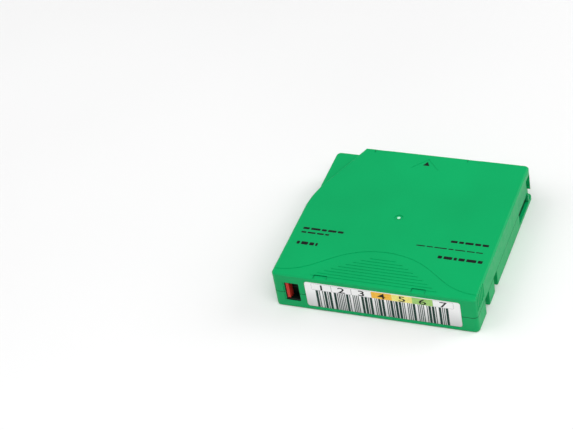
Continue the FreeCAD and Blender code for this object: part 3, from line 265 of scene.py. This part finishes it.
def thicken(piece, offset, taper=1):
    """Make a closed slab of a flat piece, its far side drawn in by a taper."""
    edit_all(piece)
    extrude(offset)
    if taper != 1:
        bpy.ops.transform.resize(value=(taper, taper, 1))
    bpy.ops.mesh.select_all(action="SELECT")
    bpy.ops.mesh.normals_make_consistent(inside=False)
    return settle(piece)


def flat_plate(name, middle, size, upright=False):
    """One rectangular face, lying flat or standing up to face the label side."""
    deselect()
    turn = (math.pi / 2 if upright else 0, 0, 0)
    bpy.ops.mesh.primitive_plane_add(size=1, location=middle, rotation=turn)
    piece = named(name)
    bpy.ops.transform.resize(value=size)
    return settle(piece)


def round_corners(piece, radius, segments):
    """Round the corners of a flat piece."""
    edit_all(piece, "VERT")
    bpy.ops.mesh.bevel(offset=radius, segments=segments, affect="VERTICES")


def boolean(piece, operation, other):
    """Join another piece to this one or cut it out, and remove the other."""
    make_active(piece)
    modifier = piece.modifiers.new("boolean", "BOOLEAN")
    modifier.operation = operation
    modifier.object = other
    bpy.ops.object.modifier_apply(modifier=modifier.name)
    bpy.data.objects.remove(other)


def join(pieces, name):
    """Make one piece of several."""
    deselect()
    for piece in pieces:
        piece.select_set(True)
    bpy.context.view_layer.objects.active = pieces[0]
    bpy.ops.object.join()
    return named(name)


def copied(piece, offset):
    """A moved copy with its own mesh."""
    twin = piece.copy()
    twin.data = piece.data.copy()
    bpy.context.scene.collection.objects.link(twin)
    twin.data.transform(Matrix.Translation(offset))
    return twin


def paint(piece, material):
    """Give a piece one material."""
    piece.data.materials.clear()
    piece.data.materials.append(material)


def put_on(piece, body, material):
    """Finish a piece: its material and the body that carries it."""
    paint(piece, material)
    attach(piece, body)


# ---------------------------------------------------------------- nodes

def new_material(name):
    """A material with its tree and shader."""
    material = bpy.data.materials.new(name)
    material.use_nodes = True
    return material, material.node_tree, material.node_tree.nodes["Principled BSDF"]


def add_node(tree, kind, inputs=None, **settings):
    """A node with its settings and the values of its inputs."""
    made = tree.nodes.new(kind)
    for key, value in settings.items():
        setattr(made, key, value)
    for key, value in (inputs or {}).items():
        made.inputs[key].default_value = value
    return made


def own_place(tree):
    """The piece's own coordinates, in metres."""
    return add_node(tree, "ShaderNodeTexCoord").outputs["Object"]


def own_axis(tree, axis):
    """One of the piece's own coordinates."""
    split = add_node(tree, "ShaderNodeSeparateXYZ")
    tree.links.new(own_place(tree), split.inputs["Vector"])
    return split.outputs[axis]


def noise_of(tree, scale, detail=2.0, roughness=0.5):
    """Noise on the piece's own coordinates, in features per metre."""
    noise = add_node(tree, "ShaderNodeTexNoise",
                     {"Scale": scale, "Detail": detail, "Roughness": roughness})
    tree.links.new(own_place(tree), noise.inputs["Vector"])
    return noise.outputs["Fac"]


def rings_about_reel(tree, scale):
    """Fine rings about the reel's axis."""
    centred = add_node(tree, "ShaderNodeMapping")
    centred.inputs["Location"].default_value = (-REEL_AXIS.x, -REEL_AXIS.y, 0)
    rings = add_node(tree, "ShaderNodeTexWave",
                     {"Scale": scale, "Distortion": RING_WANDER, "Detail": 2},
                     wave_type="RINGS", rings_direction="Z")
    tree.links.new(own_place(tree), centred.inputs["Vector"])
    tree.links.new(centred.outputs["Vector"], rings.inputs["Vector"])
    return rings.outputs["Fac"]


def spread(tree, source, low=0.0, high=1.0, used=NOISE_USED):
    """A value stretched from the used part of its range to another range."""
    ranged = add_node(tree, "ShaderNodeMapRange",
                      {"From Min": used[0], "From Max": used[1], "To Min": low, "To Max": high})
    tree.links.new(source, ranged.inputs["Value"])
    return ranged.outputs["Result"]


def mixed(tree, factor, first, second):
    """First where the factor is nought, second where it is one: each a colour or an output."""
    mix = add_node(tree, "ShaderNodeMix", data_type="RGBA")
    for socket, colour in (("A", first), ("B", second)):
        if isinstance(colour, tuple):
            mix.inputs[socket].default_value = (*colour, 1)
        else:
            tree.links.new(colour, mix.inputs[socket])
    tree.links.new(factor, mix.inputs["Factor"])
    return mix.outputs["Result"]


def bump_from(tree, shader, source, strength, distance):
    """Bump the shader's normal by a value."""
    bump = add_node(tree, "ShaderNodeBump", {"Strength": strength, "Distance": distance})
    tree.links.new(source, bump.inputs["Height"])
    tree.links.new(bump.outputs["Normal"], shader.inputs["Normal"])


def shade(colour, factor):
    """A colour made darker or lighter."""
    return tuple(min(1.0, part * factor) for part in colour)


def toned(tree, factor, colour, darkest, lightest=1):
    """A colour between a darker and a lighter tone of itself."""
    return mixed(tree, factor, shade(colour, darkest), shade(colour, lightest))


def uneven(tree, noise, middle, reach):
    """A value that strays from its middle with a noise."""
    return spread(tree, noise, middle - reach, middle + reach)


def within(tree, axis, middle, reach):
    """One where a coordinate of the piece is within reach of a middle, nought elsewhere."""
    near = add_node(tree, "ShaderNodeMath", {1: middle, 2: reach}, operation="COMPARE")
    tree.links.new(own_axis(tree, axis), near.inputs[0])
    return near.outputs["Value"]


def inside_box(tree, middle, half):
    """One inside a box of the piece's own coordinates, nought outside it."""
    inside = within(tree, "X", middle[0], half[0])
    for axis, centre, reach in zip("YZ", middle[1:], half[1:]):
        both = add_node(tree, "ShaderNodeMath", operation="MULTIPLY")
        tree.links.new(inside, both.inputs[0])
        tree.links.new(within(tree, axis, centre, reach), both.inputs[1])
        inside = both.outputs["Value"]
    return inside


# ---------------------------------------------------------------- materials

def shade_shell(tree, base, colour):
    """The shells' colour with painted shade behind the window, in the joint and in the stacking
    pockets.
    """
    # Painted shade on the walls behind the window of the write-protect tab
    base = mixed(tree, inside_box(tree, WINDOW_MIDDLE, WINDOW_HALF), base, WINDOW_PAINTED_SHADE)
    # Painted shade in the joint between the shells
    base = mixed(tree, within(tree, "Z", PARTING, SEAM_HALF), base, shade(colour, SEAM_PAINTED_SHADE))
    # Painted shade on the walls of the stacking pockets, two at each end
    for side in (-1, 1):
        for end in (CASE_LOW.y + STACK_MIDDLE, CASE_HIGH.y - STACK_MIDDLE):
            middle = (REEL_AXIS.x + side * STACK_PITCH / 2, end, CASE_HIGH.z - STACK_DEPTH / 2)
            walls = inside_box(tree, middle, STACK_HALF)
            base = mixed(tree, walls, base, shade(colour, STACK_PAINTED_SHADE))
    return base


def shade_leg(tree, base, colour):
    """The door's colour with painted shade on its leg."""
    # Painted shade on the door's leg, inside the opener's slot
    return mixed(tree, inside_box(tree, LEG_MIDDLE, LEG_HALF), base, shade(colour, LEG_PAINTED_SHADE))


def moulded_plastic(name, colour, roughness=0.42, grain=GRAIN_SCALE, depth=MOULD_GRAIN_DEPTH,
                    specular=0.5, painted_shade=None):
    """Injection-moulded plastic with a fine spark-eroded grain and a slow drift of tone."""
    material, tree, shader = new_material(name)
    drift = spread(tree, noise_of(tree, DRIFT_SCALE))
    base = toned(tree, drift, colour, darkest=0.95, lightest=1.05)
    # Painted shade, where a function that paints it is given
    if painted_shade:
        base = painted_shade(tree, base, colour)
    tree.links.new(base, shader.inputs["Base Color"])
    rough = uneven(tree, noise_of(tree, SHEEN_SCALE, detail=3), roughness, PLASTIC_SHEEN)
    tree.links.new(rough, shader.inputs["Roughness"])
    shader.inputs["Specular IOR Level"].default_value = specular
    grains = noise_of(tree, grain, detail=3, roughness=0.6)
    bump_from(tree, shader, grains, strength=0.5, distance=depth)
    return material


def brushed_metal(name, colour, roughness):
    """Rolled or drawn steel with faint streaks."""
    material, tree, shader = new_material(name)
    streaks = spread(tree, noise_of(tree, STREAK_SCALE, detail=4, roughness=0.7))
    tree.links.new(toned(tree, streaks, colour, darkest=0.86), shader.inputs["Base Color"])
    rough = uneven(tree, noise_of(tree, STREAK_SCALE / 3, detail=3), roughness, METAL_SHEEN)
    tree.links.new(rough, shader.inputs["Roughness"])
    shader.inputs["Metallic"].default_value = 1.0
    grains = noise_of(tree, STREAK_SCALE * 2)
    bump_from(tree, shader, grains, strength=0.2, distance=FINE_DEPTH)
    return material


def turned_metal(name, colour):
    """Face-turned steel disc with concentric tool marks."""
    material, tree, shader = new_material(name)
    rings = rings_about_reel(tree, TURNED_RING_SCALE)
    tree.links.new(toned(tree, rings, colour, darkest=0.82), shader.inputs["Base Color"])
    rough = spread(tree, noise_of(tree, TURNED_SHEEN_SCALE, detail=3), low=0.24, high=0.36)
    tree.links.new(rough, shader.inputs["Roughness"])
    shader.inputs["Metallic"].default_value = 1.0
    bump_from(tree, shader, rings, strength=0.2, distance=FINE_DEPTH)
    return material


def wound_film(name, colour):
    """Tape film, its turns seen as fine rings."""
    material, tree, shader = new_material(name)
    rings = rings_about_reel(tree, FILM_RING_SCALE)
    tones = toned(tree, rings, colour, darkest=0.7, lightest=1.3)
    tree.links.new(tones, shader.inputs["Base Color"])
    shader.inputs["Roughness"].default_value = 0.28
    bump_from(tree, shader, rings, strength=0.25, distance=FINE_DEPTH)
    return material


def label_stock(name, colour, foot_shade_tone):
    """Coated label paper with a faint fibre, with painted shade at its foot that fades upwards."""
    material, tree, shader = new_material(name)
    fade_end = LABEL_LOW.z + FADE_SHARE * (LABEL_HIGH.z - LABEL_LOW.z)
    fade = spread(tree, own_axis(tree, "Z"), used=(LABEL_LOW.z, fade_end))
    fibre = spread(tree, noise_of(tree, FIBRE_SCALE, detail=4, roughness=0.7))
    white = toned(tree, fibre, colour, darkest=0.97)
    # Painted shade: the paper darkens towards the label's foot
    graded = mixed(tree, fade, shade(colour, foot_shade_tone), white)
    tree.links.new(graded, shader.inputs["Base Color"])
    shader.inputs["Roughness"].default_value = 0.38
    grains = noise_of(tree, PAPER_GRAIN_SCALE, detail=4, roughness=0.6)
    bump_from(tree, shader, grains, strength=0.15, distance=FINE_DEPTH)
    return material


def ink(name, colour):
    """Printed ink, a little uneven."""
    material, tree, shader = new_material(name)
    patch = spread(tree, noise_of(tree, INK_SCALE))
    tones = toned(tree, patch, colour, darkest=0.9, lightest=1.1)
    tree.links.new(tones, shader.inputs["Base Color"])
    shader.inputs["Roughness"].default_value = 0.45
    shader.inputs["Specular IOR Level"].default_value = 0.15
    return material


case_plastic = moulded_plastic("case_green_plastic", (0.0, 0.36, 0.108), specular=0.14,
                               painted_shade=shade_shell)
door_plastic = moulded_plastic("door_green_plastic", (0.0, 0.33, 0.105), roughness=0.5,
                               specular=0.3, painted_shade=shade_leg)
# Light colour of the gate's disc: a painted highlight
gate_highlight_plastic = moulded_plastic("gate_painted_highlight", (0.42, 0.80, 0.60), roughness=0.12,
                               depth=POLISHED_DEPTH)
tab_plastic = moulded_plastic("tab_red_plastic", (0.55, 0.035, 0.02), roughness=0.4,
                              specular=0.2)
reel_plastic = moulded_plastic("reel_white_plastic", (0.62, 0.62, 0.58), roughness=0.35,
                               grain=REEL_GRAIN_SCALE)
brake_plastic = moulded_plastic("brake_ivory_plastic", (0.66, 0.60, 0.46), roughness=0.4)
clip_plastic = moulded_plastic("clip_grey_plastic", (0.18, 0.18, 0.19), roughness=0.4)
tag_board = moulded_plastic("tag_board_green", (0.02, 0.10, 0.05), roughness=0.3,
                            grain=BOARD_GRAIN_SCALE)
screw_steel = brushed_metal("screw_black_steel", (0.10, 0.10, 0.11), roughness=0.35)
pin_steel = brushed_metal("pin_polished_steel", (0.62, 0.62, 0.63), roughness=0.18)
spring_steel = brushed_metal("spring_drawn_steel", (0.48, 0.48, 0.50), roughness=0.28)
plate_steel = turned_metal("plate_zinc_steel", (0.56, 0.57, 0.58))
label_paper = label_stock("label_white_paper", (0.92, 0.92, 0.92), foot_shade_tone=0.62)
tape_film = wound_film("tape_brown_film", (0.035, 0.022, 0.016))
bar_ink = ink("bar_dark_ink", (0.012, 0.045, 0.035))
black_ink = ink("black_print_ink", (0.008, 0.010, 0.010))
line_ink = ink("cell_grey_ink", (0.35, 0.37, 0.38))
orange_ink = ink("cell_orange_ink", (0.90, 0.50, 0.06))
yellow_ink = ink("cell_yellow_ink", (0.88, 0.80, 0.24))
green_ink = ink("cell_green_ink", (0.36, 0.62, 0.18))

NODE_FINISH = {
    "lower_shell": case_plastic,
    "upper_shell": case_plastic,
    "case_screws": screw_steel,
    "memory_tag": tag_board,
    "cartridge_label": label_paper,
    "leader_pin": pin_steel,
    "leader_clip": clip_plastic,
    "leader_tape": tape_film,
    "pin_spring_upper": spring_steel,
    "pin_spring_lower": spring_steel,
    "door_spring": spring_steel,
    "brake_spring": spring_steel,
    "reel_hub": reel_plastic,
    "reel_upper_flange": reel_plastic,
    "drive_plate": plate_steel,
    "tape_pack": tape_film,
    "brake": brake_plastic,
    "release_plate": brake_plastic,
    "door": door_plastic,
    "write_protect_tab": tab_plastic,
}
for node_name, node_material in NODE_FINISH.items():
    paint(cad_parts[node_name], node_material)

# Inks of the filled cells, by their place in the row. The other cells have a line round them.
CELL_FILLS = {3: orange_ink, 4: yellow_ink, 5: green_ink}


# ---------------------------------------------------------------- label print

def printed_plate(name, x, z, corner=0.0, frame_line=0.0):
    """Thin printed field or line frame on the label, between two x and two z values."""
    middle = ((x[0] + x[1]) / 2, LABEL_LOW.y, (z[0] + z[1]) / 2)
    piece = flat_plate(name, middle, (x[1] - x[0], 1, z[1] - z[0]), upright=True)
    if corner:
        round_corners(piece, corner, CELL_CORNER_SEGMENTS)
    if frame_line:
        edit_all(piece)
        bpy.ops.mesh.inset(thickness=frame_line)
        bpy.ops.mesh.delete(type="FACE")
    return thicken(piece, (0, -LABEL_INK, 0))


def printed_digit(number, x, foot):
    """A plain numeral a little above a cell's foot."""
    deselect()
    bpy.ops.object.text_add(location=(0, 0, 0))
    text = bpy.context.object
    text.data.body = str(number)
    text.data.align_x = "CENTER"
    text.data.size = DIGIT_HEIGHT / DIGIT_SHARE_OF_SIZE
    text.data.offset = DIGIT_BOLD
    text.data.extrude = LABEL_INK / 2
    bpy.ops.object.convert(target="MESH")
    piece = named(f"label_digit_{number}")
    piece.rotation_euler = (math.pi / 2, 0, 0)
    piece.scale = (DIGIT_STRETCH, 1, 1)
    piece.location = (x, LABEL_LOW.y - LABEL_INK, foot + DIGIT_FOOT_GAP)
    return settle(piece)


def build_label_cells():
    """Row of cells, some of them coloured, with a number in each."""
    top = LABEL_HIGH.z - CELL_TOP_GAP
    foot = top - CELL_HEIGHT
    for index in range(CELL_COUNT):
        left = LABEL_LOW.x + CELL_START + index * CELL_PITCH
        x = (left, left + CELL_PITCH)
        if index in CELL_FILLS:
            field = printed_plate(f"label_field_{index + 1}", x, (foot, top))
            put_on(field, "case", CELL_FILLS[index])
        else:
            line = printed_plate(f"label_frame_{index + 1}", x, (foot, top),
                                 CELL_RADIUS, CELL_LINE)
            put_on(line, "case", line_ink)
        digit = printed_digit(index + 1, (x[0] + x[1]) / 2, foot)
        put_on(digit, "case", black_ink)


def build_label_bars():
    """Bars that encode nothing: one or two wide bars and one wide space in each group."""
    z = (LABEL_LOW.z + BAR_FOOT, LABEL_HIGH.z - BAR_TOP_GAP)
    narrow = printed_plate("bar_narrow", (0, BAR_NARROW), z)
    wide = printed_plate("bar_wide", (0, BAR_WIDE), z)
    bars = []
    x = LABEL_LOW.x + BAR_START
    for group in range(BAR_GROUPS):
        wide_bars = (group % BARS_IN_GROUP, (group * 2 + 3) % BARS_IN_GROUP)
        wide_space = (group * 3 + 1) % (BARS_IN_GROUP - 1)
        for index in range(BARS_IN_GROUP):
            is_wide = index in wide_bars
            bars.append(copied(wide if is_wide else narrow, (x, 0, 0)))
            x += BAR_WIDE if is_wide else BAR_NARROW
            x += BAR_WIDE if index == wide_space else BAR_NARROW
    bpy.data.objects.remove(narrow)
    bpy.data.objects.remove(wide)
    put_on(join(bars, "label_bars"), "case", bar_ink)


# ---------------------------------------------------------------- top print

def raise_print(piece):
    """Thicken a flat piece from just under the top face to just over it."""
    return thicken(piece, (0, 0, TOP_INK_UNDER + TOP_INK_OVER))


def build_arrow_mark():
    """Small printed arrowhead inside the chevron."""
    deselect()
    bpy.ops.mesh.primitive_circle_add(vertices=3, radius=1, fill_type="NGON",
                                      location=(0, 0, CASE_HIGH.z - TOP_INK_UNDER))
    piece = named("top_arrow")
    tip = CASE_HIGH.y - ARROW_TIP_GAP
    corners = ((0, tip), (-ARROW_HALF, tip - ARROW_RISE), (ARROW_HALF, tip - ARROW_RISE))
    for vertex, (x, y) in zip(piece.data.vertices, corners):
        vertex.co = (x, y, 0)
    put_on(raise_print(settle(piece)), "case", black_ink)


def top_dash(name, x, y):
    """Flat printed dash on the top face, between two x and two y values."""
    middle = ((x[0] + x[1]) / 2, (y[0] + y[1]) / 2, CASE_HIGH.z - TOP_INK_UNDER)
    piece = flat_plate(name, middle, (x[1] - x[0], y[1] - y[0], 1))
    round_corners(piece, DASH_CORNER_SHARE * (y[1] - y[0]), DASH_CORNER_SEGMENTS)
    return raise_print(piece)


def build_top_print():
    """Rows of plain dashes where such cases carry print."""
    for name, left, middle, height, widths in DASH_ROWS:
        x = left * MM
        y = ((middle - height / 2) * MM, (middle + height / 2) * MM)
        dashes = []
        for width in widths:
            dashes.append(top_dash(f"{name}_dash", (x, x + width * MM), y))
            x += width * MM + DASH_GAP
        put_on(join(dashes, f"top_print_{name}"), "case", black_ink)


def build_gate_mark():
    """Painted highlight on the stub where the gate was trimmed off, in the dimple at the reel's
    axis: a light, glossy disc.
    """
    deselect()
    place = (REEL_AXIS.x, REEL_AXIS.y, CASE_HIGH.z - TOP_INK_UNDER)
    bpy.ops.mesh.primitive_circle_add(vertices=GATE_SIDES, radius=GATE_RADIUS, fill_type="NGON",
                                      location=place)
    piece = settle(named("gate_painted_highlight_disc"))
    edit_all(piece)
    bpy.ops.mesh.inset(thickness=GATE_RIM)
    put_on(raise_print(piece), "case", gate_highlight_plastic)


# ---------------------------------------------------------------- screws

def screw_places():
    """Middle of each case screw, one in each quarter of the case, and their heads' radius."""
    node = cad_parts["case_screws"]
    corners = [node.matrix_world @ vertex.co for vertex in node.data.vertices]
    places = []
    for side in (-1, 1):
        for end in (-1, 1):
            mine = [co for co in corners if co.x * side > 0 and co.y * end > 0]
            across = [co.x for co in mine]
            along = [co.y for co in mine]
            places.append(((min(across) + max(across)) / 2, (min(along) + max(along)) / 2))
            radius = (max(along) - min(along)) / 2
    return places, radius


def recess_cutter(foot):
    """Cross that cuts the recess in a screw's head."""
    arms = []
    for size in ((RECESS_SPAN, RECESS_WIDTH, 1), (RECESS_WIDTH, RECESS_SPAN, 1)):
        arm = flat_plate("recess_arm", (0, 0, foot - RECESS_DEPTH), size)
        arms.append(thicken(arm, (0, 0, 2 * RECESS_DEPTH), RECESS_TAPER))
    boolean(arms[0], "UNION", arms[1])
    return arms[0]


def build_screws():
    """Pan-head screws with a cross recess, one in each well under the case."""
    low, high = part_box("case_screws")
    places, radius = screw_places()
    deselect()
    bpy.ops.mesh.primitive_cylinder_add(vertices=SCREW_SIDES, radius=radius, depth=SCREW_HEAD,
                                        location=(0, 0, low.z + SCREW_HEAD / 2))
    screw = settle(named("case_screw"))
    mesh = screw.data

    def is_at_foot(edge):
        return all(mesh.vertices[i].co.z < low.z + TOUCHING for i in edge.vertices)

    edit_chosen(screw, "EDGE", is_at_foot)
    bpy.ops.mesh.bevel(offset=SCREW_HEAD_BEVEL, segments=SCREW_BEVEL_SEGMENTS, affect="EDGES")
    edit_chosen(screw, "FACE", lambda face: face.normal.z > FACING_UP)
    bpy.ops.mesh.inset(thickness=radius - SCREW_SHANK)
    extrude((0, 0, high.z - low.z - SCREW_HEAD - SCREW_TIP))
    extrude((0, 0, SCREW_TIP))
    bpy.ops.transform.resize(value=(SCREW_TIP_SHARE, SCREW_TIP_SHARE, 1))
    settle(screw)
    boolean(screw, "DIFFERENCE", recess_cutter(low.z))
    make_active(screw)
    bpy.ops.object.shade_smooth_by_angle(angle=SCREW_SMOOTH)
    screws = [copied(screw, (x, y, 0)) for x, y in places]
    bpy.data.objects.remove(screw)
    piece = join(screws, "case_screw_set")
    put_on(piece, "case", screw_steel)
    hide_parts("case_screws")


build_label_cells()
build_label_bars()
build_arrow_mark()
build_top_print()
build_gate_mark()
build_screws()


# ---------------------------------------------------------------- room, lights and camera

def build_floor():
    """White floor, a hair below the case so that the two never share a plane."""
    deselect()
    bpy.ops.mesh.primitive_plane_add(size=FLOOR_SIZE, location=(0, 0, -FLOOR_DROP))
    floor = named("studio_floor")
    material, tree, shader = new_material("studio_white")
    patch = spread(tree, noise_of(tree, FLOOR_SCALE))
    tones = mixed(tree, patch, FLOOR_DARKEST, FLOOR_LIGHTEST)
    tree.links.new(tones, shader.inputs["Base Color"])
    shader.inputs["Roughness"].default_value = 0.7
    shader.inputs["Specular IOR Level"].default_value = 0.2
    paint(floor, material)


def build_lights():
    """White surroundings and square soft boxes that face the cartridge."""
    world = bpy.data.worlds.new("studio_air")
    bpy.context.scene.world = world
    world.use_nodes = True
    background = world.node_tree.nodes["Background"]
    background.inputs["Color"].default_value = (1, 1, 1, 1)
    background.inputs["Strength"].default_value = AIR_LIGHT
    for name, place, size, power in SOFT_BOXES:
        deselect()
        bpy.ops.object.light_add(type="AREA", location=place)
        light = bpy.context.object
        light.name = name
        light.data.size = size
        light.data.energy = power
        light.rotation_euler = (-Vector(place)).to_track_quat("-Z", "Y").to_euler()
    bpy.context.scene.view_settings.view_transform = "Standard"


def build_camera():
    """Camera in the place that the photograph was taken from."""
    flat = math.cos(VIEW_RISE)
    back = Vector((math.sin(VIEW_TURN) * flat, -math.cos(VIEW_TURN) * flat, math.sin(VIEW_RISE)))
    level = Vector((0, 0, 1)).cross(back).normalized()
    upright = back.cross(level)
    across = math.cos(VIEW_ROLL) * level + math.sin(VIEW_ROLL) * upright
    up = -math.sin(VIEW_ROLL) * level + math.cos(VIEW_ROLL) * upright
    middle = Vector((0, 0, CASE_HIGH.z / 2))
    place = middle + back * VIEW_DISTANCE + across * VIEW_ACROSS + up * VIEW_UP
    deselect()
    bpy.ops.object.camera_add()
    camera = bpy.context.object
    camera.name = "view_camera"
    camera.data.lens = VIEW_LENS
    camera.data.sensor_width = VIEW_SENSOR
    camera.data.clip_start = VIEW_NEAREST
    camera.matrix_world = Matrix((
        (across.x, up.x, back.x, place.x),
        (across.y, up.y, back.y, place.y),
        (across.z, up.z, back.z, place.z),
        (0, 0, 0, 1),
    ))
    bpy.context.scene.camera = camera


build_floor()
build_lights()
build_camera()
